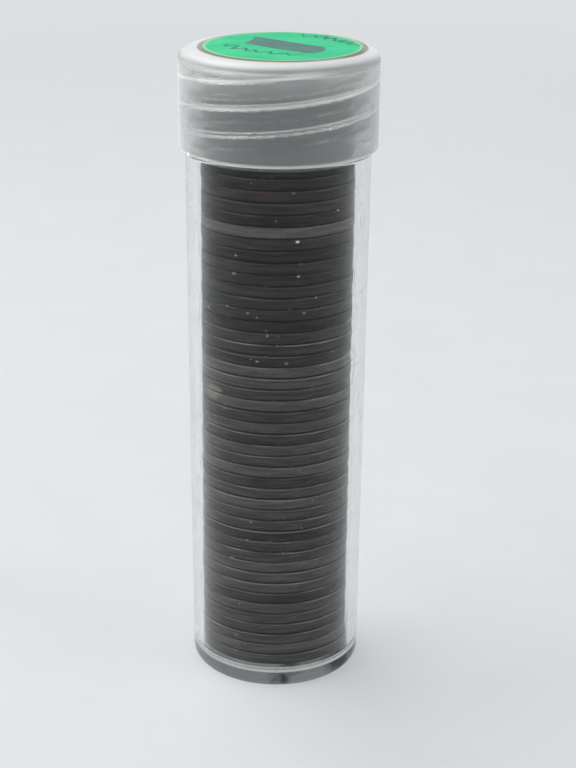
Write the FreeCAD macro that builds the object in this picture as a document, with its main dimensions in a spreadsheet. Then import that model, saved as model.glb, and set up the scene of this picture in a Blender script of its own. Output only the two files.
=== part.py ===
import FreeCAD, Part
import math
import os
import Sketcher

# A round screw-cap tube that holds a full roll of small one-cent-size coins.
# Millimetres, +Z up. The origin is the centre of the tube's flat foot.
# The bore's axis, the neck's axis, the cap's axis and the coins' stack all lie on Z.

COINS = 50  # a full roll
SHEET = "Sizes"

# ---------------------------------------------------------------- driving sizes

SIZES = (
    # coins
    ("coin_dia", "19.05"),
    ("coin_thick", "1.48"),
    ("coin_play", "0.25"),
    ("coin_lean", "=0.60 * coin_play"),
    ("coin_scatter", "=0.20 * coin_play"),
    # tube
    ("floor_thick", "2.9"),
    ("wall_foot", "1.25"),
    ("wall_draft", "0.43"),
    ("bore_draft", "0.18"),
    ("headroom", "3.65"),
    ("foot_round", "1.2"),
    ("neck_long", "11.0"),
    ("neck_step", "0.8"),
    # cap
    ("thread_room", "0.75"),
    ("cap_wall", "0.84"),
    ("cap_top", "1.3"),
    ("cap_round", "1.5"),
    ("rim_gap", "0.2"),
    # label
    ("label_thick", "0.1"),
    ("label_margin", "1.1"),
    ("label_shift", "=0.41 * label_margin"),
    # what follows from them
    ("coin_rad", "=coin_dia / 2"),
    ("bore_foot", "=coin_rad + coin_play"),
    ("bore_mouth", "=bore_foot + bore_draft"),
    ("foot_rad", "=bore_foot + wall_foot"),
    ("shoulder_rad", "=foot_rad + wall_draft"),
    ("neck_rad", "=shoulder_rad - neck_step"),
    ("stack_long", "=%d * coin_thick" % COINS),
    ("tube_long", "=floor_thick + stack_long + headroom"),
    ("shoulder_up", "=tube_long - neck_long"),
    ("cap_bore", "=neck_rad + thread_room"),
    ("cap_rad", "=cap_bore + cap_wall"),
    ("rim_up", "=shoulder_up + rim_gap"),
    ("cap_up", "=tube_long + cap_top"),
    ("label_rad", "=cap_rad - cap_round - label_margin"),
)


def make_sheet(doc):
    sheet = doc.addObject("Spreadsheet::Sheet", SHEET)
    for row, (alias, content) in enumerate(SIZES, start=1):
        sheet.set("A%d" % row, alias)
        sheet.set("B%d" % row, content)
        sheet.setAlias("B%d" % row, alias)
    doc.recompute()
    return sheet


def cell(alias):
    """The expression that reads one size."""
    return "%s.%s" % (SHEET, alias)


# ---------------------------------------------------------------- helpers


def origin_feature(body, role):
    return next(f for f in body.Origin.OriginFeatures if f.Role == role)


def half_profile(body, name, corners):
    """A closed half section in the XZ plane. corners are (radius, height) pairs of expressions."""
    sketch = body.newObject("Sketcher::SketchObject", name)
    sketch.AttachmentSupport = [(origin_feature(body, "XZ_Plane"), "")]
    sketch.MapMode = "FlatFace"
    # a first outline with the right turns, which the bound distances then stretch to size
    doc = body.Document
    guess = [tuple(value(doc, e) for e in corner) for corner in corners]
    count = len(corners)
    for i in range(count):
        a = FreeCAD.Vector(guess[i][0], guess[i][1], 0)
        b = FreeCAD.Vector(guess[(i + 1) % count][0], guess[(i + 1) % count][1], 0)
        sketch.addGeometry(Part.LineSegment(a, b), False)
    for i in range(count):
        sketch.addConstraint(Sketcher.Constraint("Coincident", i, 2, (i + 1) % count, 1))
    for i, (radius, height) in enumerate(corners):
        pin_corner(sketch, i, "DistanceX", radius, guess[i][0])
        pin_corner(sketch, i, "DistanceY", height, guess[i][1])
    return sketch


def pin_corner(sketch, line, kind, expression, now):
    """Hold the first end of a line at a bound distance from the axis or from the foot's plane."""
    if expression == "0":
        axis = -2 if kind == "DistanceX" else -1
        sketch.addConstraint(Sketcher.Constraint("PointOnObject", line, 1, axis))
        return
    index = sketch.addConstraint(Sketcher.Constraint(kind, -1, 1, line, 1, now))
    sketch.setExpression("Constraints[%d]" % index, expression)


def value(doc, expression):
    """What a bound expression comes to now."""
    return float(doc.getObject(SHEET).evalExpression(expression))


def turned_body(doc, name, corners):
    """A body made by turning a half section once round Z."""
    body = doc.addObject("PartDesign::Body", name)
    body.Label = name
    sketch = half_profile(body, name + "_section", corners)
    turn = body.newObject("PartDesign::Revolution", name + "_turn")
    turn.Profile = sketch
    turn.ReferenceAxis = (sketch, ["V_Axis"])
    turn.Angle = 360
    doc.recompute()
    return body


def round_edge(body, name, radius, height, size):
    """Round the circular edge at this radius and height by a bound size."""
    doc = body.Document
    base = body.Tip
    rad = value(doc, radius)
    up = value(doc, height)
    found = [
        "Edge%d" % (i + 1)
        for i, edge in enumerate(base.Shape.Edges)
        if isinstance(edge.Curve, Part.Circle)
        and abs(edge.Curve.Radius - rad) < 1e-4
        and abs(edge.Curve.Center.z - up) < 1e-4
    ]
    if not found:
        raise RuntimeError("%s finds no edge" % name)
    fillet = body.newObject("PartDesign::Fillet", name)
    fillet.Base = (base, found)
    fillet.setExpression("Radius", size)
    doc.recompute()
    return fillet


# ---------------------------------------------------------------- the pieces


def make_tube(doc):
    """The clear moulded tube: flat foot, drafted wall and bore, and a stepped neck for the cap."""
    body = turned_body(
        doc,
        "tube",
        (
            ("0", "0"),
            (cell("foot_rad"), "0"),
            (cell("shoulder_rad"), cell("shoulder_up")),
            (cell("neck_rad"), cell("shoulder_up")),
            (cell("neck_rad"), cell("tube_long")),
            (cell("bore_mouth"), cell("tube_long")),
            (cell("bore_foot"), cell("floor_thick")),
            ("0", cell("floor_thick")),
        ),
    )
    round_edge(body, "foot_edge", cell("foot_rad"), "0", cell("foot_round"))
    return body


def make_cap(doc):
    """The frosted cap: a cup turned over, seated with the underside of its top on the mouth."""
    body = turned_body(
        doc,
        "screw_cap",
        (
            (cell("cap_bore"), cell("rim_up")),
            (cell("cap_rad"), cell("rim_up")),
            (cell("cap_rad"), cell("cap_up")),
            ("0", cell("cap_up")),
            ("0", cell("tube_long")),
            (cell("cap_bore"), cell("tube_long")),
        ),
    )
    round_edge(body, "cap_shoulder", cell("cap_rad"), cell("cap_up"), cell("cap_round"))
    return body


def make_label(doc):
    """The round paper label, stuck a little off centre on the cap's flat top."""
    disc = doc.addObject("Part::Cylinder", "label")
    disc.Label = "label"
    disc.setExpression("Radius", cell("label_rad"))
    disc.setExpression("Height", cell("label_thick"))
    disc.setExpression(".Placement.Base.x", cell("label_shift"))
    disc.setExpression(".Placement.Base.z", cell("cap_up"))
    return disc


def make_coin(doc, number):
    """One coin of the stack. It lies on the one below, as far to the side as the bore lets it."""
    name = "coin_%02d" % number
    disc = doc.addObject("Part::Cylinder", name)
    disc.Label = name
    disc.setExpression("Radius", cell("coin_rad"))
    disc.setExpression("Height", cell("coin_thick"))
    below = number - 1
    disc.setExpression(
        ".Placement.Base.z", "%s + %d * %s" % (cell("floor_thick"), below, cell("coin_thick"))
    )
    if below:
        # the lower coins lean to -X, and each is turned on from the last by the golden angle
        lean = 1 - below / (COINS - 1)
        turn = below * math.pi * (3 - math.sqrt(5))
        disc.setExpression(
            ".Placement.Base.x",
            "%.6f * %s - %.6f * %s" % (math.cos(turn), cell("coin_scatter"), lean, cell("coin_lean")),
        )
        disc.setExpression(".Placement.Base.y", "%.6f * %s" % (math.sin(turn), cell("coin_scatter")))
    return disc


# ---------------------------------------------------------------- checks and files


def check(doc, parts):
    for item in doc.Objects:
        if "Invalid" in item.State or "Error" in item.State:
            raise RuntimeError("%s did not recompute: %s" % (item.Name, item.State))
    for item in parts:
        if item.Shape.isNull() or not item.Shape.isValid():
            raise RuntimeError("%s has no valid shape" % item.Label)
        if len(item.Shape.Solids) != 1:
            raise RuntimeError("%s is %d solids" % (item.Label, len(item.Shape.Solids)))


def main():
    doc = FreeCAD.newDocument("coin_tube")
    make_sheet(doc)
    parts = [make_tube(doc), make_cap(doc), make_label(doc)]
    parts += [make_coin(doc, number) for number in range(1, COINS + 1)]
    doc.recompute()
    check(doc, parts)
    os.makedirs("parts", exist_ok=True)
    for item in parts:
        item.Shape.exportStep("parts/%s.step" % item.Label)
    wide = 2 * value(doc, cell("cap_rad"))
    tall = value(doc, cell("cap_up")) + value(doc, cell("label_thick"))
    print("%d pieces, %.2f mm across the cap, %.2f mm tall" % (len(parts), wide, tall))


main()
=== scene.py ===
import math
import random

import bpy
from mathutils import Matrix, Vector


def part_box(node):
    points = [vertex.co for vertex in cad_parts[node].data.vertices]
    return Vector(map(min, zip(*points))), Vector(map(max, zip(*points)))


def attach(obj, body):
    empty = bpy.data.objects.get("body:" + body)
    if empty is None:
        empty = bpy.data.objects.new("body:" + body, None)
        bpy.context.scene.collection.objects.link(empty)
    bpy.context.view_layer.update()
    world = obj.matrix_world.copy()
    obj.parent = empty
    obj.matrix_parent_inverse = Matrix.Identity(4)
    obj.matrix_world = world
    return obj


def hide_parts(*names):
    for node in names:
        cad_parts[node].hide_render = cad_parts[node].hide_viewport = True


# The looks of a screw-cap coin tube. Metres, in the frame of the solids: +Z up, the foot's centre at 0.

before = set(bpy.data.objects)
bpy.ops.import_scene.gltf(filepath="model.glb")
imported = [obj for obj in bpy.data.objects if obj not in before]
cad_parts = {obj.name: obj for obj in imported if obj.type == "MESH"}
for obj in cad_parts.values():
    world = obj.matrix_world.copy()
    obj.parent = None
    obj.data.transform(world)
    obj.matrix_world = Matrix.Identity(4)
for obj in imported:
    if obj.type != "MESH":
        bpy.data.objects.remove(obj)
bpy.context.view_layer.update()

MM = 0.001
TURN = 2 * math.pi
RIGHT = math.pi / 2

# ---------------------------------------------------------------- sizes read from the frame


def size_of(node):
    low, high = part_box(node)
    return high - low


def middle_of(node):
    low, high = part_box(node)
    return (low + high) / 2


TUBE_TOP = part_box("tube")[1].z  # also the underside of the cap's top
CAP_LOW, CAP_HIGH = (corner.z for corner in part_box("screw_cap"))
CAP_RAD = size_of("screw_cap").x / 2
COIN_RAD = size_of("coin_01").x / 2
COIN_THICK = size_of("coin_01").z
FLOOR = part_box("coin_01")[0].z
LABEL_RAD = size_of("label").x / 2
LABEL_SHIFT = middle_of("label").x
COINS = sorted(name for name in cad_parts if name.startswith("coin_"))

# ---------------------------------------------------------------- sizes of the mouldings

WALL_FOOT = 1.25 * MM  # the tube's wall just over the floor
COIN_PLAY = 0.25 * MM
BORE_FOOT = COIN_RAD + COIN_PLAY
BORE_MOUTH = BORE_FOOT + 0.18 * MM
FOOT_RAD = BORE_FOOT + WALL_FOOT
SHOULDER_RAD = FOOT_RAD + 0.43 * MM
NECK_RAD = SHOULDER_RAD - 0.8 * MM
RIM_GAP = 0.2 * MM  # between the cap's rim and the tube's shoulder
SHOULDER_UP = CAP_LOW - RIM_GAP
CAP_BORE = CAP_RAD - 0.84 * MM
FOOT_ROUND = 1.2 * MM
SHOULDER_OUT = 2.0 * MM  # the cap's shoulder is an oval round: this far in from the side
SHOULDER_DOWN = 1.35 * MM  # and this far down from the top
SHOULDER_STEPS = 10
MOAT_DEEP = 0.75 * MM  # the shallow moulded moat round the edge of the bore's floor

# the closure thread: two starts, right-handed
LEAD = 6.4 * MM
STARTS = 2
RIDGE_STEP = LEAD / STARTS
RIDGE_TALL = 0.5 * MM
RIDGE_CREST = 0.25 * MM
RIDGE_ROOT = 0.85 * MM
CAP_RIDGE_UP = 1.8 * MM  # where a ridge of the cap crosses azimuth 0, over a whole number of steps
NECK_RIDGE_LAG = 0.36  # the neck's ridges lie this share of a step above the cap's
# where the ridges start and stop, and how long they take to rise and to fall away
NECK_RIDGES = (SHOULDER_UP + 0.7 * MM, TUBE_TOP - 0.7 * MM, 1.0 * MM, 1.0 * MM)
CAP_RIDGES = (CAP_LOW + 1.9 * MM, TUBE_TOP - 0.55 * MM, 0.5 * MM, 0.4 * MM)

# a small burr of flash on the cap's rim
BURR_AT = math.radians(-151)
BURR_OUT = 0.30 * MM
BURR_TALL = 0.3 * MM
BURR_WIDE = 0.03  # radians

# ---------------------------------------------------------------- the coins

COIN_RIM = 1.0 * MM  # the raised rim round the field
FIELD_STEP = 0.35 * MM
FIELD_DEEP = 0.10 * MM
COIN_EDGE = 0.22 * MM  # the round of the worn edges
NICKS = 7
COIN_SEED = 1700

GREY_HIGHLIT_COINS = 31  # the coins up to this one are greyer in tone, and their upper edges get brighter painted highlights
DARK_TONES = (0.02, 0.16)
GREY_TONES = (0.07, 0.68)
PALE_COINS = {40: 0.80, 28: 0.66}  # the tones of the few coins that stand out
# how bright the painted highlight on a coin's upper edge is, for the darker coins and for the others
DIM_HIGHLIGHT = (0.05, 0.16)
BRIGHT_HIGHLIGHT = (0.22, 0.62)

# the few marks on the stack that stand out: place, size, colour
GREY_SPECK = (0.20, 0.21, 0.21, 1)
STAINS = (
    ((-7.5 * MM, -5.87 * MM, 40.0 * MM), 1.9 * MM, (0.22, 0.21, 0.17, 1)),
    ((2.36 * MM, -9.23 * MM, 60.3 * MM), 0.30 * MM, (0.95, 0.95, 0.92, 1)),
    ((-0.89 * MM, -9.48 * MM, 66.0 * MM), 2.0 * MM, (0.048, 0.031, 0.025, 1)),
    ((2.75 * MM, -9.12 * MM, 57.65 * MM), 0.30 * MM, GREY_SPECK),
    ((-4.98 * MM, -8.12 * MM, 56.0 * MM), 0.35 * MM, GREY_SPECK),
    ((-3.39 * MM, -8.90 * MM, 51.2 * MM), 0.28 * MM, GREY_SPECK),
    ((3.18 * MM, -8.98 * MM, 51.3 * MM), 0.28 * MM, GREY_SPECK),
    ((1.16 * MM, -9.45 * MM, 44.95 * MM), 0.30 * MM, GREY_SPECK),
    ((-2.27 * MM, -9.25 * MM, 45.1 * MM), 0.28 * MM, GREY_SPECK),
    ((1.83 * MM, -9.35 * MM, 66.35 * MM), 0.28 * MM, GREY_SPECK),
)

# ---------------------------------------------------------------- the pen marks, in mm on the cap's top

INK_THICK = 0.008 * MM
BAR_LINE = ((-3.0, 3.3), (4.5, -3.0))
BAR_WIDE = 4.45 * MM
BAR_TIP = 0.35 * MM
# how far each run of the pen starts from the line's first end, and goes past its last
BAR_ENDS = ((0.5, 0.1), (0.1, 0.5), (0.0, 0.7), (-0.2, 0.6), (-0.5, 0.3), (-0.9, 0.0), (-1.3, -0.7))
BAR_ROWS = 15
RUN_STEPS = 8
ZIGZAG_WIDE = 0.36 * MM
ZIGZAG_STEPS = 8
# name, path, swing, beats, seed
ZIGZAGS = (
    ("pen_zigzag_a", ((2.0, 7.9), (7.6, 6.0), (9.2, -0.3)), 1.15, 7, 3),
    ("pen_zigzag_b", ((-7.0, 1.2), (-4.2, -4.4), (3.4, -6.4)), 1.35, 7, 8),
)

# ---------------------------------------------------------------- how fine the meshes are

AROUND = 192
COIN_AROUND = 144
LABEL_AROUND = 160
ARC_STEPS = 6
THREAD_RINGS = 0.14 * MM  # the longest step along a threaded wall
LABEL_RINGS = 0.8 * MM
HOLD = 0.08 * MM  # how near the ends of a long run its holding rings lie
COIN_HOLD = 0.03 * MM
NEAR = 0.01 * MM  # radii this close belong to one wall
SHARP = 35.0  # degrees

# ---------------------------------------------------------------- mesh helpers


def arc_corner(before, corner, after, radius):
    """The points of a round corner between two straight runs of a profile."""
    a = (Vector(before) - Vector(corner)).normalized()
    b = (Vector(after) - Vector(corner)).normalized()
    half = a.angle(b) / 2
    reach = radius / math.tan(half)
    centre = Vector(corner) + (a + b).normalized() * (radius / math.sin(half))
    start = Vector(corner) + a * reach - centre
    end = Vector(corner) + b * reach - centre
    sweep = start.angle_signed(end)
    points = []
    for i in range(ARC_STEPS + 1):
        angle = -sweep * i / ARC_STEPS
        points.append(tuple(centre + Matrix.Rotation(angle, 2) @ start))
    return points


def rounded(corners):
    """A profile from (radius, height, round) corners."""
    points = []
    for i, (r, z, size) in enumerate(corners):
        if size and 0 < i < len(corners) - 1:
            points += arc_corner(corners[i - 1][:2], (r, z), corners[i + 1][:2], size)
        else:
            points.append((r, z))
    return points


def along_run(a, b, share):
    return a[0] + (b[0] - a[0]) * share, a[1] + (b[1] - a[1]) * share


def held(points, gap):
    """The profile with a ring near each end of its long runs, so that a flat stays flat beside a round."""
    out = [points[0]]
    for a, b in zip(points, points[1:]):
        long = math.dist(a, b)
        if long > 5 * gap:
            out += [along_run(a, b, gap / long), along_run(a, b, 1 - gap / long)]
        out.append(b)
    return out


def divided(points, longest, low=-1.0, high=1.0):
    """The profile with runs between two heights cut so that no step is longer than asked."""
    out = [points[0]]
    for a, b in zip(points, points[1:]):
        inside = min(a[1], b[1]) >= low and max(a[1], b[1]) <= high
        steps = max(1, math.ceil(math.dist(a, b) / longest)) if inside else 1
        out += [along_run(a, b, i / steps) for i in range(1, steps + 1)]
    return out


def lathe(name, profile, steps, shape=None, centre=(0.0, 0.0)):
    """Turns a (radius, height) profile round Z.

    shape(radius, height, angle) may return a changed radius and height.
    """
    verts, faces, rings = [], [], []
    for r, z in profile:
        if r < 1e-9:
            rings.append([len(verts)])
            verts.append((centre[0], centre[1], z))
            continue
        ring = []
        for k in range(steps):
            angle = TURN * k / steps
            rr, zz = shape(r, z, angle) if shape else (r, z)
            ring.append(len(verts))
            verts.append((centre[0] + rr * math.cos(angle), centre[1] + rr * math.sin(angle), zz))
        rings.append(ring)
    for a, b in zip(rings, rings[1:]):
        for k in range(steps):
            n = (k + 1) % steps
            if len(a) == 1:
                faces.append((a[0], b[n], b[k]))
            elif len(b) == 1:
                faces.append((a[k], a[n], b[0]))
            else:
                faces.append((a[k], a[n], b[n], b[k]))
    return mesh_object(name, verts, faces)


def mesh_object(name, verts, faces, sharp=SHARP):
    mesh = bpy.data.meshes.new(name)
    mesh.from_pydata(verts, [], faces)
    mesh.validate()
    mesh.polygons.foreach_set("use_smooth", [True] * len(mesh.polygons))
    mesh.set_sharp_from_angle(angle=math.radians(sharp))
    obj = bpy.data.objects.new(name, mesh)
    bpy.context.scene.collection.objects.link(obj)
    return obj


def smooth_step(low, high, x):
    t = min(1.0, max(0.0, (x - low) / (high - low)))
    return t * t * (3 - 2 * t)


def ridge(height, angle, offset, span):
    """How far a thread stands out here, from 0 to 1: a flat crest with sloped flanks and faded ends."""
    low, high, rise, fall = span
    phase = (height - LEAD * angle / TURN - CAP_RIDGE_UP) / RIDGE_STEP - offset
    away = abs(phase - round(phase)) * RIDGE_STEP
    ends = smooth_step(low, low + rise, height) * (1 - smooth_step(high - fall, high, height))
    return ends * (1 - smooth_step(RIDGE_CREST / 2, RIDGE_ROOT / 2, away))


def turned_from(angle, other):
    """The smaller angle between two azimuths."""
    return abs((angle - other + math.pi) % TURN - math.pi)


# ---------------------------------------------------------------- node helpers


class Nodes:
    """A short way to write a material's nodes."""

    def __init__(self, name):
        self.material = bpy.data.materials.new(name)
        self.material.use_nodes = True
        self.tree = self.material.node_tree
        self.shader = self.tree.nodes["Principled BSDF"]
        self.output = self.tree.nodes["Material Output"]

    def add(self, kind, links=(), **values):
        node = self.tree.nodes.new(kind)
        for key, value in values.items():
            setattr(node, key, value)
        for socket, value in dict(links).items():
            self.put(node, socket, value)
        return node

    def put(self, node, socket, value):
        """Sets a socket, or links it where the value is another node's output."""
        target = node.inputs[socket]
        if isinstance(value, bpy.types.NodeSocket):
            self.tree.links.new(value, target)
        else:
            target.default_value = value

    def shade(self, **values):
        for key, value in values.items():
            self.put(self.shader, key.replace("_", " "), value)

    def point(self):
        return self.add("ShaderNodeTexCoord").outputs["Object"]

    def scaled(self, vector, scale):
        return self.add("ShaderNodeMapping", {"Vector": vector, "Scale": scale}).outputs["Vector"]

    def noise(self, vector, scale, detail=4.0, rough=0.55):
        links = {"Vector": vector, "Scale": scale, "Detail": detail, "Roughness": rough}
        return self.add("ShaderNodeTexNoise", links).outputs["Fac"]

    def math(self, operation, a, b=0.0):
        return self.add("ShaderNodeMath", {0: a, 1: b}, operation=operation).outputs[0]

    def fold(self, operation, values):
        total = values[0]
        for value in values[1:]:
            total = self.math(operation, total, value)
        return total

    def sum(self, *values):
        return self.fold("ADD", values)

    def product(self, *values):
        return self.fold("MULTIPLY", values)

    def greatest(self, *values):
        return self.fold("MAXIMUM", values)

    def length(self, x, y):
        return self.math("SQRT", self.sum(self.product(x, x), self.product(y, y)))

    def distance(self, vector, place):
        links = {0: vector, 1: place}
        return self.add("ShaderNodeVectorMath", links, operation="DISTANCE").outputs["Value"]

    def remap(self, value, low, high, to_low=0.0, to_high=1.0, soft=True):
        """A ramp between two values, which may fall: from to_low at low to to_high at high."""
        links = {"Value": value, "From Min": low, "From Max": high, "To Min": to_low, "To Max": to_high}
        kind = "SMOOTHSTEP" if soft else "LINEAR"
        return self.add("ShaderNodeMapRange", links, interpolation_type=kind).outputs["Result"]

    def mix(self, factor, a, b):
        node = self.add("ShaderNodeMix", {"Factor": factor}, data_type="RGBA")
        self.put(node, 6, a)
        self.put(node, 7, b)
        return node.outputs[2]

    def bump(self, height, strength, distance):
        links = {"Height": height, "Strength": strength, "Distance": distance}
        return self.add("ShaderNodeBump", links).outputs["Normal"]

    def axes(self, vector):
        node = self.add("ShaderNodeSeparateXYZ", {"Vector": vector})
        return node.outputs[0], node.outputs[1], node.outputs[2]

    def let_lamps_through(self, colour):
        """Shadow rays pass, so that what is inside is lit."""
        path = self.add("ShaderNodeLightPath").outputs["Is Shadow Ray"]
        clear = self.add("ShaderNodeBsdfTransparent", {"Color": colour}).outputs[0]
        links = {0: path, 1: self.shader.outputs[0], 2: clear}
        mixed = self.add("ShaderNodeMixShader", links).outputs[0]
        self.tree.links.new(mixed, self.output.inputs["Surface"])


# ---------------------------------------------------------------- materials


def clear_plastic():
    """Moulded clear plastic with scratches, smudges and dust.

    A ring of painted light marks the moat, the shoulder has a little painted light, and painted shade
    darkens the foot's slab.
    """
    n = Nodes("clear_plastic")
    # the clear tint, and a near black tint that paints shade into the foot's slab
    clear, slab_shade_black = (0.915, 0.930, 0.930, 1), (0.003, 0.0035, 0.0035, 1)
    # white for real dust and for the painted light of the moat's ring and the shoulder
    haze_and_painted_light_white = (0.93, 0.94, 0.93, 1)
    point = n.point()
    x, y, z = n.axes(point)
    out = n.length(x, y)
    along = n.noise(n.scaled(point, (9000.0, 9000.0, 350.0)), 1.0, 2.0)
    around = n.noise(n.scaled(point, (260.0, 260.0, 7000.0)), 1.0, 2.0)
    scratches = n.sum(n.remap(along, 0.66, 0.74), n.remap(around, 0.67, 0.75))
    smudge = n.remap(n.noise(point, 160.0, 3.0), 0.45, 0.7)
    dust = n.remap(n.noise(point, 2100.0, 1.0), 0.76, 0.80)
    # painted light: a white ring on the moat's outer wall, for the light gathered at the edge of the
    # bore's floor
    ring = n.product(
        n.remap(out, BORE_FOOT + 0.25 * MM, BORE_FOOT + 0.10 * MM),
        n.remap(out, COIN_RAD, COIN_RAD + 0.12 * MM),
        n.remap(z, FLOOR - 0.20 * MM, FLOOR - 0.32 * MM),
        n.remap(z, FLOOR - MOAT_DEEP - 0.1 * MM, FLOOR - MOAT_DEEP),
        n.remap(along, 0.3, 0.7, 0.45, 0.75),
    )
    # painted light: a faint whitening on the tube's shoulder lifts the shade of the gap under the cap's
    # rim
    shoulder = n.product(
        n.remap(z, SHOULDER_UP - 0.40 * MM, SHOULDER_UP - 0.20 * MM),
        n.remap(out, NECK_RAD - 0.1 * MM, NECK_RAD),
        n.remap(z, SHOULDER_UP + 0.15 * MM, SHOULDER_UP + 0.05 * MM),
        0.12,
    )
    # painted shade: the foot's slab and the bore's floor under the coins are tinted nearly black, for the
    # shade under the coin stack
    under_floor = n.remap(z, FLOOR - 0.45 * MM, FLOOR - 0.70 * MM)
    under_coins = n.product(
        n.remap(out, COIN_RAD, COIN_RAD - 0.1 * MM), n.remap(z, FLOOR + 0.2 * MM, FLOOR + 0.1 * MM)
    )
    slab = n.product(n.greatest(under_floor, under_coins), n.remap(smudge, 0.0, 1.0, 0.85, 1.0))
    # real dust, and the painted light of the moat's ring and the shoulder
    dust_and_painted_light = n.greatest(ring, shoulder, n.product(dust, 0.35))
    rough = n.sum(n.product(scratches, 0.10), n.product(smudge, 0.03))
    n.shade(
        Base_Color=n.mix(dust_and_painted_light, n.mix(slab, clear, slab_shade_black), haze_and_painted_light_white),
        Roughness=n.sum(rough, 0.02, n.product(slab, 0.04)),
        IOR=1.5,
        Specular_IOR_Level=0.25,
        Specular_Tint=(0.30, 0.30, 0.31, 1),
        Transmission_Weight=n.math("SUBTRACT", 1.0, dust_and_painted_light),
        Normal=n.bump(scratches, 0.12, 0.00003),
    )
    n.let_lamps_through((0.93, 0.95, 0.95, 1))
    return n.material


def frosted_plastic():
    """Milky polyethylene: rough, cloudy glass.

    It is whiter along the thread's ridges, where the plastic is thicker, in lines of painted light, at the
    cut rim and its burr in painted highlights, and towards the thick top, partly as a painted highlight.
    The upper side has a little painted light, a grey band of painted shade lies where the top begins over
    the tube's mouth, and a dark line of painted shadow runs round the label.
    """
    n = Nodes("frosted_plastic")
    milky, milky_pale = (0.80, 0.83, 0.82, 1), (0.87, 0.90, 0.89, 1)
    # grey for a band of painted shade, and white for painted light and the whiter thick top
    plate_shade_grey, haze_and_painted_light_white = (0.36, 0.38, 0.37, 1), (0.96, 0.97, 0.95, 1)
    # brown for the painted shadow round the label
    label_shadow_brown = (0.15, 0.125, 0.10, 1)
    point = n.point()
    x, y, z = n.axes(point)
    flow = n.noise(n.scaled(point, (120.0, 120.0, 500.0)), 1.0, 3.0)
    # how far the nearest ridge's middle is, as a share of the ridges' step
    helix = n.math("SUBTRACT", z, n.product(n.math("ARCTAN2", y, x), LEAD / TURN))
    phase = n.math("DIVIDE", n.math("SUBTRACT", helix, CAP_RIDGE_UP), RIDGE_STEP)
    away = n.math("ABSOLUTE", n.math("SUBTRACT", phase, n.math("ROUND", phase)))
    zone = n.product(
        n.remap(z, CAP_LOW + 1.7 * MM, CAP_LOW + 2.4 * MM),
        n.remap(z, TUBE_TOP + 0.40 * MM, TUBE_TOP - 0.15 * MM),
        n.remap(z, CAP_LOW + 2.5 * MM, CAP_LOW + 11.0 * MM, 0.06, 1.0),
        n.remap(n.length(x, y), CAP_BORE - 0.9 * MM, CAP_BORE - 0.6 * MM),
    )
    # painted light: bright lines along the thread's ridges, where the plastic is thicker, fading towards
    # the rim
    line = n.product(n.remap(away, 0.085, 0.025), zone, n.remap(flow, 0.25, 0.6, 0.55, 1.0))
    flank = n.product(n.remap(away, 0.16, 0.04), zone, 0.25)
    # painted highlights: the cut rim and the burr on it are whitened as if they caught the light
    rim = n.remap(z, CAP_LOW + 0.36 * MM, CAP_LOW + 0.26 * MM, 0.0, 0.45)
    burr_at = (CAP_RAD * math.cos(BURR_AT), CAP_RAD * math.sin(BURR_AT), CAP_LOW + 0.1 * MM)
    burr = n.remap(n.distance(point, burr_at), 0.55 * MM, 0.30 * MM)
    # the thick top is whiter, partly as a painted highlight round the shoulder; the upper side gets a
    # little painted light
    top = n.remap(z, CAP_HIGH - 0.95 * MM, CAP_HIGH - 0.25 * MM, 0.0, 0.66)
    upper = n.remap(z, CAP_HIGH - 5.5 * MM, CAP_HIGH - 2.0 * MM, 0.0, 0.14)
    # the painted light of the lines, rim, burr and upper side, with the whiter thick top
    white = n.greatest(line, flank, rim, burr, top, upper)
    # painted shade: a grey band where the cap's top begins over the tube's mouth, for the dark inside seen
    # through it
    plate_shade = n.product(
        n.remap(z, TUBE_TOP - 0.25 * MM, TUBE_TOP + 0.05 * MM, 0.0, 0.7),
        n.remap(z, CAP_HIGH - 0.5 * MM, CAP_HIGH - 0.9 * MM),
    )
    from_label = n.length(n.math("SUBTRACT", x, LABEL_SHIFT), y)
    # painted shadow: a dark brown line on the cap's top round the label's edge
    label_shadow = n.product(
        n.remap(from_label, LABEL_RAD + 0.85 * MM, LABEL_RAD + 0.50 * MM),
        n.remap(z, CAP_HIGH - 0.15 * MM, CAP_HIGH - 0.05 * MM),
    )
    colour = n.mix(n.remap(flow, 0.3, 0.7), milky, milky_pale)
    colour = n.mix(plate_shade, colour, plate_shade_grey)
    colour = n.mix(white, colour, haze_and_painted_light_white)
    colour = n.mix(n.product(label_shadow, n.remap(flow, 0.3, 0.7, 0.70, 1.0)), colour, label_shadow_brown)
    soft_shoulder = n.remap(z, CAP_HIGH - 1.9 * MM, CAP_HIGH - 1.2 * MM, 0.0, 0.25)
    n.shade(
        Base_Color=colour,
        Roughness=n.sum(n.remap(flow, 0.3, 0.7, 0.17, 0.22), soft_shoulder),
        IOR=1.5,
        Transmission_Weight=n.remap(n.greatest(white, label_shadow), 0.0, 1.0, 0.91, 0.12, soft=False),
        Sheen_Weight=n.remap(label_shadow, 0.0, 1.0, 0.85, 0.10),
        Sheen_Roughness=0.45,
        Normal=n.bump(n.noise(point, 900.0, 2.0), 0.06, 0.00002),
    )
    n.let_lamps_through((0.55, 0.57, 0.56, 1))
    return n.material


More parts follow.
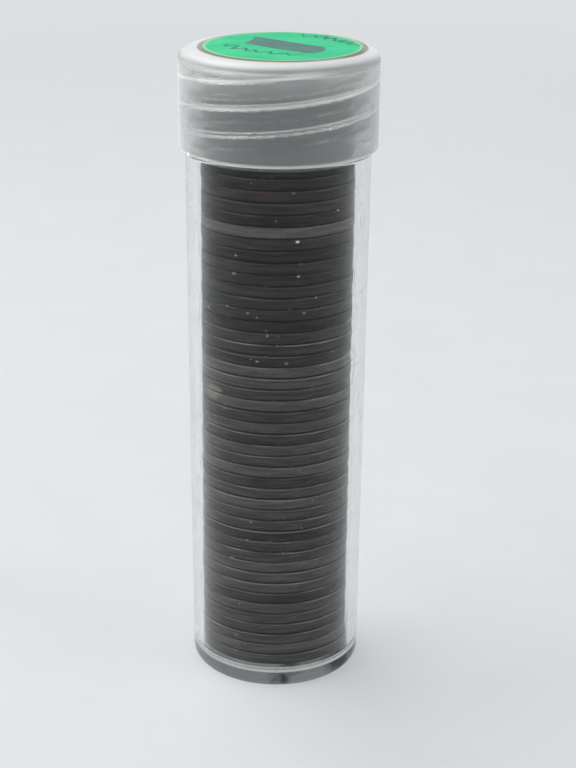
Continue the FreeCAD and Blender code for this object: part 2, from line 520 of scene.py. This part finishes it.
def green_paper():
    """Matt green sticker paper with fibres, a slightly uneven print, a paler edge and a brown cut."""
    n = Nodes("green_paper")
    green, green_pale = (0.024, 0.47, 0.22, 1), (0.052, 0.55, 0.265, 1)
    fibre_green, worn_green = (0.17, 0.68, 0.39, 1), (0.30, 0.66, 0.34, 1)
    cut_brown = (0.42, 0.33, 0.24, 1)
    point = n.point()
    x, y, z = n.axes(point)
    out = n.length(n.math("SUBTRACT", x, LABEL_SHIFT), y)
    fibres = n.noise(n.scaled(point, (1400.0, 5200.0, 1400.0)), 1.0, 3.0)
    colour = n.mix(n.remap(n.noise(point, 240.0, 4.0), 0.3, 0.7), green, green_pale)
    colour = n.mix(n.remap(fibres, 0.55, 0.75, 0.0, 0.25), colour, fibre_green)
    worn = n.remap(out, LABEL_RAD - 0.55 * MM, LABEL_RAD - 0.15 * MM, 0.0, 0.75)
    colour = n.mix(worn, colour, worn_green)
    cut = n.remap(out, LABEL_RAD - 0.03 * MM, LABEL_RAD, 0.0, 0.8, soft=False)
    n.shade(
        Base_Color=n.mix(cut, colour, cut_brown),
        Roughness=n.remap(fibres, 0.3, 0.7, 0.65, 0.82),
        Specular_IOR_Level=0.3,
        Normal=n.bump(fibres, 0.25, 0.00003),
    )
    return n.material


def pen_ink(name, dark, light, turn=0.0):
    """Marker ink with streaks along the pen's runs, which lie at this angle."""
    n = Nodes(name)
    links = {"Vector": n.point(), "Rotation": (0.0, 0.0, -turn)}
    turned = n.add("ShaderNodeMapping", links).outputs["Vector"]
    streaks = n.noise(n.scaled(turned, (300.0, 2400.0, 300.0)), 1.0, 3.0)
    n.shade(
        Base_Color=n.mix(n.remap(streaks, 0.35, 0.7), dark, light),
        Roughness=n.remap(streaks, 0.3, 0.7, 0.55, 0.75),
        Specular_IOR_Level=0.3,
        Normal=n.bump(streaks, 0.2, 0.00002),
    )
    return n.material


def coin_bronze():
    """Bronze gone near black with age. Its tone, and the painted highlight and painted shade of its edges,
    are on each coin's mesh.
    """
    n = Nodes("coin_bronze")
    black, black_pale = (0.0060, 0.0058, 0.0058, 1), (0.085, 0.084, 0.080, 1)
    brown, brown_pale = (0.026, 0.0235, 0.0225, 1), (0.150, 0.142, 0.130, 1)
    red_patch, fleck_tan = (0.060, 0.036, 0.028, 1), (0.30, 0.26, 0.22, 1)
    # grey for the painted highlight on each coin's upper edge, near black for painted shade on its lower
    # edge and in the gaps
    highlight_grey, gap_shade_black = (0.36, 0.34, 0.31, 1), (0.001, 0.001, 0.001, 1)
    point = n.point()
    tone = n.add("ShaderNodeAttribute", attribute_name="tone").outputs["Fac"]
    # the painted light and shade of the edges, read from each coin's mesh
    edge_light = n.add("ShaderNodeAttribute", attribute_name="edge_light").outputs["Fac"]
    # each coin's noise is moved by its tone, so that grime doesn't run on from coin to coin
    shift = n.add("ShaderNodeCombineXYZ", {0: tone, 1: tone, 2: 0.0}).outputs[0]
    moved = n.add("ShaderNodeVectorMath", {0: point, 1: shift}, operation="ADD").outputs[0]
    grime = n.noise(n.scaled(moved, (240.0, 240.0, 2200.0)), 1.0, 5.0, 0.6)
    pits = n.noise(n.scaled(moved, (500.0, 500.0, 3200.0)), 1.0, 3.0)
    flecks = n.noise(n.scaled(moved, (900.0, 900.0, 2400.0)), 1.0, 2.0)
    bare = n.noise(moved, 110.0, 3.0)
    highlight_breaks = n.noise(n.scaled(moved, (170.0, 170.0, 1200.0)), 1.0, 3.0)
    grimy = n.remap(grime, 0.35, 0.68)
    colour = n.mix(grimy, n.mix(tone, black, black_pale), n.mix(tone, brown, brown_pale))
    colour = n.mix(n.remap(bare, 0.62, 0.74, 0.0, 0.35), colour, red_patch)
    colour = n.mix(n.remap(flecks, 0.75, 0.80, 0.0, 0.4), colour, fleck_tan)
    flatter = n.scaled(point, (1.0, 1.0, 1.5))
    for (px, py, pz), size, tint in STAINS:
        ragged = n.remap(grime, 0.2, 0.8, -0.25 * size, 0.25 * size)
        edge = n.sum(n.distance(flatter, (px, py, pz * 1.5)), ragged)
        colour = n.mix(n.remap(edge, size, 0.5 * size, 0.0, 0.8), colour, tint)
    # painted highlight on the upper edge, broken up by noise, then painted shade on the lower edge and in
    # the gap
    edge_highlight = n.product(n.remap(edge_light, 0.0, 1.0, soft=False), n.remap(highlight_breaks, 0.38, 0.62, 0.1, 1.0))
    colour = n.mix(edge_highlight, colour, highlight_grey)
    colour = n.mix(n.remap(edge_light, 0.0, -0.8), colour, gap_shade_black)
    n.shade(
        Base_Color=colour,
        Metallic=n.remap(grime, 0.35, 0.7, 0.25, 0.55),
        Roughness=n.remap(pits, 0.3, 0.7, 0.36, 0.50),
        Specular_IOR_Level=0.10,
        Normal=n.bump(pits, 0.06, 0.00002),
    )
    return n.material


# ---------------------------------------------------------------- the pieces


def dress(obj, node, body, material):
    obj.data.materials.append(material)
    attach(obj, body)
    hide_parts(node)


def make_tube(material):
    """The clear tube: rounded foot, drafted wall and bore, rounded shoulder, threaded neck and moat."""
    profile = rounded(
        (
            (0, 0, 0),
            (FOOT_RAD, 0, FOOT_ROUND),
            (SHOULDER_RAD, SHOULDER_UP, 0.35 * MM),
            (NECK_RAD, SHOULDER_UP, 0.2 * MM),
            (NECK_RAD, TUBE_TOP, 0.3 * MM),
            (BORE_MOUTH, TUBE_TOP, 0.3 * MM),
            (BORE_FOOT, FLOOR - MOAT_DEEP, 0.25 * MM),
            (COIN_RAD - 0.55 * MM, FLOOR - MOAT_DEEP, 0.15 * MM),
            (COIN_RAD - 0.95 * MM, FLOOR, 0.1 * MM),
            (0, FLOOR, 0),
        )
    )
    profile = divided(held(profile, HOLD), THREAD_RINGS, SHOULDER_UP + 0.1 * MM, TUBE_TOP - 0.2 * MM)
    low, high = NECK_RIDGES[:2]

    def threaded(r, z, angle):
        if r < NECK_RAD - NEAR or not low < z < high:
            return r, z
        return r + RIDGE_TALL * ridge(z, angle, NECK_RIDGE_LAG, NECK_RIDGES), z

    obj = lathe("clear_tube", profile, AROUND, threaded)
    dress(obj, "tube", "tube", material)


def make_cap(material):
    """The frosted cap: smooth outside with a round shoulder, threaded inside, with a burr on its rim."""
    profile = rounded(
        (
            (0, TUBE_TOP, 0),
            (CAP_BORE, TUBE_TOP, 0.5 * MM),
            (CAP_BORE, CAP_LOW, 0.15 * MM),
            (CAP_RAD, CAP_LOW, 0.25 * MM),
            (CAP_RAD, CAP_HIGH - SHOULDER_DOWN, 0),
        )
    )
    for i in range(1, SHOULDER_STEPS + 1):
        angle = RIGHT * i / SHOULDER_STEPS
        out = CAP_RAD - SHOULDER_OUT * (1 - math.cos(angle))
        profile.append((out, CAP_HIGH - SHOULDER_DOWN * (1 - math.sin(angle))))
    profile.append((0, CAP_HIGH))
    profile = divided(held(profile, HOLD), THREAD_RINGS, CAP_LOW + 0.1 * MM, TUBE_TOP - 0.1 * MM)
    low, high = CAP_RIDGES[:2]

    def threaded(r, z, angle):
        if r > CAP_BORE + NEAR:
            if z >= CAP_LOW + BURR_TALL:
                return r, z
            bell = math.exp(-((turned_from(angle, BURR_AT) / BURR_WIDE) ** 2))
            return r + BURR_OUT * bell * (1 - smooth_step(CAP_LOW, CAP_LOW + BURR_TALL, z)), z
        if r < CAP_BORE - NEAR or not low < z < high:
            return r, z
        return r - RIDGE_TALL * ridge(z, angle, 0.0, CAP_RIDGES), z

    obj = lathe("frosted_cap", profile, AROUND, threaded)
    dress(obj, "screw_cap", "cap", material)


def make_coin(name, number, material):
    """A worn plain-edged coin: raised rim, shallow field, rolled edges and a few nicks."""
    dice = random.Random(COIN_SEED + number)
    low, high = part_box(name)
    middle = middle_of(name)
    middle_up = (low.z + high.z) / 2
    field_rad = COIN_RAD - COIN_RIM - FIELD_STEP
    profile = rounded(
        (
            (0, low.z + FIELD_DEEP, 0),
            (field_rad, low.z + FIELD_DEEP, 0.2 * MM),
            (COIN_RAD - COIN_RIM, low.z, 0.1 * MM),
            (COIN_RAD, low.z, COIN_EDGE),
            (COIN_RAD, high.z, COIN_EDGE),
            (COIN_RAD - COIN_RIM, high.z, 0.1 * MM),
            (field_rad, high.z - FIELD_DEEP, 0.2 * MM),
            (0, high.z - FIELD_DEEP, 0),
        )
    )
    nicks = []
    for _ in range(NICKS):
        at, deep = dice.uniform(0, TURN), dice.uniform(0.02, 0.07) * MM
        nicks.append((at, deep, dice.uniform(0.04, 0.12)))
    out_of_round = dice.uniform(0, TURN)

    def worn(r, z, angle):
        if r < COIN_RAD - 0.5 * MM:
            return r, z
        dent = 0.012 * MM * (1 + math.cos(2 * angle + out_of_round))
        for at, deep, wide in nicks:
            bell = math.exp(-((turned_from(angle, at) / wide) ** 2))
            dent += deep * bell * (0.4 + abs(z - middle_up) / COIN_THICK)
        return r - dent, z

    obj = lathe("worn_" + name, held(profile, COIN_HOLD), COIN_AROUND, worn, (middle.x, middle.y))
    dark = number > GREY_HIGHLIT_COINS
    value = dice.uniform(*(DARK_TONES if dark else GREY_TONES))
    value = PALE_COINS.get(number, value)
    tone = obj.data.attributes.new("tone", "FLOAT", "POINT")
    tone.data.foreach_set("value", [value] * len(obj.data.vertices))
    # the upper edge gets a painted highlight, and the lower one and the gap get painted shade
    highlight_strength = dice.uniform(*(DIM_HIGHLIGHT if dark else BRIGHT_HIGHLIGHT))
    side = (high.z - low.z) / 2 - COIN_EDGE  # half the height of the straight edge

    def edge_light_at(place):
        out = math.hypot(place.x - middle.x, place.y - middle.y)
        up = place.z - middle_up
        if abs(up) < side:
            return 0.0
        if out < COIN_RAD - 1.2 * COIN_EDGE:
            return -1.0
        if up < 0:
            return -smooth_step(side, side + 0.4 * COIN_EDGE, -up)
        bright = smooth_step(side, side + 0.15 * COIN_EDGE, up)
        bright *= 1 - smooth_step(side + 0.45 * COIN_EDGE, side + 0.7 * COIN_EDGE, up)
        return highlight_strength * bright - smooth_step(side + 0.65 * COIN_EDGE, side + COIN_EDGE, up)

    # each point's painted highlight (above 0) or painted shade (below 0)
    edge_light = obj.data.attributes.new("edge_light", "FLOAT", "POINT")
    edge_light.data.foreach_set("value", [edge_light_at(vertex.co) for vertex in obj.data.vertices])
    body = "bottom_coin" if name == COINS[0] else "coin_stack"
    dress(obj, name, body, material)


def make_label(material):
    """The round sticker, with a soft cut edge. It leaves room for the ink under the solid's top."""
    low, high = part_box("label")
    middle = middle_of("label")
    top = high.z - 2 * INK_THICK
    profile = rounded(
        ((0, low.z, 0), (LABEL_RAD, low.z, 0.01 * MM), (LABEL_RAD, top, 0.04 * MM), (0, top, 0))
    )
    profile = divided(profile, LABEL_RINGS)
    obj = lathe("green_label", profile, LABEL_AROUND, centre=(middle.x, middle.y))
    dress(obj, "label", "cap", material)


def pen_line(name, points, width, height, material):
    """A pen stroke: a thin flat ribbon through smooth points on the label."""
    verts, faces = [], []
    count = len(points)
    for i, point in enumerate(points):
        before = Vector(points[max(0, i - 1)])
        after = Vector(points[min(count - 1, i + 1)])
        along = (after - before).normalized()
        side = Vector((-along.y, along.x)) * width / 2
        taper = min(1.0, 0.35 + 4 * min(i, count - 1 - i) / count)
        for edge in (Vector(point) + side * taper, Vector(point) - side * taper):
            verts.append((edge.x, edge.y, height))
            verts.append((edge.x, edge.y, height - INK_THICK))
    for i in range(count - 1):
        a, b = 4 * i, 4 * i + 4
        faces.append((a, a + 2, b + 2, b))
        faces.append((a + 1, b + 1, b + 3, a + 3))
        faces.append((a, b, b + 1, a + 1))
        faces.append((a + 2, a + 3, b + 3, b + 2))
    faces.append((0, 1, 3, 2))
    end = 4 * (count - 1)
    faces.append((end, end + 2, end + 3, end + 1))
    obj = mesh_object(name, verts, faces)
    obj.data.materials.append(material)
    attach(obj, "cap")


def flat_sheet(name, rows, height):
    """A closed thin slab over a grid of points, which are rows of (x, y)."""
    wide, long = len(rows[0]), len(rows)
    verts = [(x, y, height) for row in rows for x, y in row]
    verts += [(x, y, height - INK_THICK) for row in rows for x, y in row]
    under = wide * long
    faces = []
    for i in range(long - 1):
        for k in range(wide - 1):
            a, b = i * wide + k, (i + 1) * wide + k
            faces.append((a, b, b + 1, a + 1))
            faces.append((under + a, under + a + 1, under + b + 1, under + b))
    around = list(range(wide)) + [i * wide + wide - 1 for i in range(1, long)]
    around += [(long - 1) * wide + k for k in range(wide - 2, -1, -1)]
    around += [i * wide for i in range(long - 2, 0, -1)]
    for a, b in zip(around, around[1:] + around[:1]):
        faces.append((a, b, under + b, under + a))
    return mesh_object(name, verts, faces)


def make_bar(height, material):
    """The scribbled-over bar: a broad pen run to and fro, whose runs show at its two ragged ends."""
    start, end = (Vector(p) * MM for p in BAR_LINE)
    along = (end - start).normalized()
    across = Vector((-along.y, along.x))
    runs = len(BAR_ENDS)
    rows = []
    for i in range(BAR_ROWS):
        share = i / (BAR_ROWS - 1)
        row = []
        for k in range(runs * RUN_STEPS + 1):
            u = k / (runs * RUN_STEPS)
            run = min(runs - 1, int(u * runs))
            tip = BAR_TIP * math.sqrt(max(0.0, 1 - (2 * (u * runs - run) - 1) ** 2))
            a = start + along * (BAR_ENDS[run][0] * MM - tip)
            b = end + along * (BAR_ENDS[run][1] * MM + tip)
            wave = 0.04 * MM * math.sin(9 * share + 5 * u)
            spot = a + (b - a) * share + across * ((u - 0.5) * BAR_WIDE + wave)
            row.append((spot.x, spot.y))
        rows.append(row)
    obj = flat_sheet("pen_bar", rows, height)
    obj.data.materials.append(material)
    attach(obj, "cap")


def zigzag(path, swing, beats, seed):
    """The points of a loose zigzag along a bent path."""
    dice = random.Random(seed)
    a, m, b = (Vector(p) * MM for p in path)
    turns = []
    for k in range(2 * beats + 1):
        share = k / (2 * beats)
        spot = a * (1 - share) ** 2 + m * 2 * share * (1 - share) + b * share**2
        slope = ((m - a) * (1 - share) + (b - m) * share).normalized()
        out = Vector((-slope.y, slope.x)) * (1 if k % 2 else -1) * swing * dice.uniform(0.45, 1.0) * MM
        turns.append(spot + out + slope * dice.uniform(-0.35, 0.35) * MM)
    points = []
    for before, turn, after in zip(turns, turns[1:], turns[2:]):
        one, two = (before + turn) / 2, (turn + after) / 2
        for k in range(ZIGZAG_STEPS):
            t = k / ZIGZAG_STEPS
            spot = one * (1 - t) ** 2 + turn * 2 * t * (1 - t) + two * t**2
            spot = spot.lerp(turn, 0.35 * math.sin(math.pi * t))
            points.append((spot.x, spot.y))
    return points


def make_marks(broad, thin):
    """A scribbled-over bar and two loose zigzags beside it. None of it is lettering."""
    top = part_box("label")[1].z
    make_bar(top, broad)
    for name, path, swing, beats, seed in ZIGZAGS:
        pen_line(name, zigzag(path, swing, beats, seed), ZIGZAG_WIDE, top - INK_THICK, thin)


# ---------------------------------------------------------------- surroundings

WORLD_LIGHT = 0.35
PALE = (0.72, 0.735, 0.75, 1)  # what the eye sees of the world and of the far floor
FLOOR_EVEN = 0.5  # the share of the near floor that is seen as evenly lit
FLOOR_WIDE = 1.5
FLOOR_FRONT = -1.2
BEND_AT = 0.55
BEND_RAD = 0.25
BEND_STEPS = 12
BACKDROP_TALL = 1.4

LAMP_AIM = (0, 0, 0.045)
# name, place, size, watts
LAMPS = (
    ("key_lamp", (-0.22, 0.16, 0.52), (0.50, 0.34), 2.6),
    ("left_lamp", (-0.45, -0.28, 0.30), (0.30, 0.40), 0.75),
    ("right_lamp", (0.48, -0.15, 0.32), (0.30, 0.45), 0.95),
)


def seen(tree):
    """1 for the rays that show a surface to the camera, straight or by way of gloss or glass."""
    path = tree.nodes.new("ShaderNodeLightPath")
    total = path.outputs["Is Camera Ray"]
    for ray in ("Is Glossy Ray", "Is Transmission Ray"):
        node = tree.nodes.new("ShaderNodeMath")
        node.operation = "MAXIMUM"
        tree.links.new(total, node.inputs[0])
        tree.links.new(path.outputs[ray], node.inputs[1])
        total = node.outputs[0]
    return total


def floor_paint():
    """Pale paint that the eye sees as partly evenly lit, and far off wholly. The rest keeps the shadow."""
    n = Nodes("pale_floor")
    grain = n.remap(n.noise(n.point(), 60.0, 3.0), 0.3, 0.7)
    n.shade(
        Base_Color=n.mix(grain, (0.70, 0.71, 0.72, 1), (0.73, 0.74, 0.75, 1)),
        Roughness=0.7,
    )
    x, y, z = n.axes(n.point())
    even = n.add("ShaderNodeEmission", {"Color": PALE, "Strength": 1.0}).outputs[0]
    share = n.product(seen(n.tree), n.remap(n.length(x, y), 0.10, 0.60, FLOOR_EVEN, 1.0))
    mixed = n.add("ShaderNodeMixShader", {0: share, 1: n.shader.outputs[0], 2: even}).outputs[0]
    n.tree.links.new(mixed, n.output.inputs["Surface"])
    return n.material


def make_floor():
    """A wide pale floor that rises behind into a backdrop."""
    rows = [(FLOOR_FRONT, 0.0), (0.0, 0.0), (BEND_AT, 0.0)]
    for i in range(1, BEND_STEPS + 1):
        angle = RIGHT * i / BEND_STEPS
        rows.append((BEND_AT + BEND_RAD * math.sin(angle), BEND_RAD - BEND_RAD * math.cos(angle)))
    rows.append((BEND_AT + BEND_RAD, BACKDROP_TALL))
    verts = [(x, y, z) for y, z in rows for x in (-FLOOR_WIDE, FLOOR_WIDE)]
    faces = [(a, a + 1, a + 3, a + 2) for a in range(0, 2 * len(rows) - 2, 2)]
    floor = mesh_object("pale_floor", verts, faces, 80.0)
    floor.data.materials.append(floor_paint())


def area_lamp(name, place, size, power):
    lamp = bpy.data.lights.new(name, "AREA")
    lamp.shape = "RECTANGLE"
    lamp.size, lamp.size_y = size
    lamp.energy = power
    obj = bpy.data.objects.new(name, lamp)
    obj.location = place
    obj.rotation_euler = (Vector(LAMP_AIM) - Vector(place)).to_track_quat("-Z", "Y").to_euler()
    bpy.context.scene.collection.objects.link(obj)


def make_light():
    """Three soft lamps, and a dim world that the eye sees as pale as the far floor."""
    for lamp in LAMPS:
        area_lamp(*lamp)
    world = bpy.data.worlds.new("soft_light")
    world.use_nodes = True
    tree = world.node_tree
    light = tree.nodes["Background"]
    light.inputs["Color"].default_value = (0.93, 0.96, 1.0, 1)
    light.inputs["Strength"].default_value = WORLD_LIGHT
    shown = tree.nodes.new("ShaderNodeBackground")
    shown.inputs["Color"].default_value = PALE
    shown.inputs["Strength"].default_value = 1.0
    mix = tree.nodes.new("ShaderNodeMixShader")
    tree.links.new(seen(tree), mix.inputs[0])
    tree.links.new(light.outputs[0], mix.inputs[1])
    tree.links.new(shown.outputs[0], mix.inputs[2])
    tree.links.new(mix.outputs[0], tree.nodes["World Output"].inputs["Surface"])
    bpy.context.scene.world = world


# ---------------------------------------------------------------- the photograph's viewpoint

CAMERA_BACK = 210.8 * MM
CAMERA_SIDE = 1.43 * MM
CAMERA_UP = FLOOR + 116.56 * MM
CAMERA_PITCH = 0.367  # radians, downwards
CAMERA_ROLL = 0.0085
FOCAL_PIXELS = 1750.8
IMAGE_TALL = 768
SENSOR = 36.0


def make_camera():
    camera = bpy.data.cameras.new("photo_view")
    camera.sensor_width = SENSOR
    camera.lens = FOCAL_PIXELS / IMAGE_TALL * SENSOR
    camera.clip_start = 0.005
    obj = bpy.data.objects.new("photo_view", camera)
    tilt = Matrix.Rotation(RIGHT - CAMERA_PITCH, 4, "X") @ Matrix.Rotation(CAMERA_ROLL, 4, "Z")
    obj.matrix_world = Matrix.Translation((CAMERA_SIDE, -CAMERA_BACK, CAMERA_UP)) @ tilt
    bpy.context.scene.collection.objects.link(obj)
    bpy.context.scene.camera = obj


# ---------------------------------------------------------------- build

make_camera()
make_floor()
make_light()
make_tube(clear_plastic())
make_cap(frosted_plastic())
bronze = coin_bronze()
for count, coin in enumerate(COINS, start=1):
    make_coin(coin, count, bronze)
make_label(green_paper())
(bar_x, bar_y), (bar_end_x, bar_end_y) = BAR_LINE
bar_turn = math.atan2(bar_end_y - bar_y, bar_end_x - bar_x)
make_marks(
    pen_ink("broad_ink", (0.050, 0.130, 0.112, 1), (0.105, 0.225, 0.195, 1), bar_turn),
    pen_ink("thin_ink", (0.018, 0.105, 0.060, 1), (0.030, 0.210, 0.110, 1)),
)

view = bpy.context.scene.view_settings
view.view_transform = "Standard"
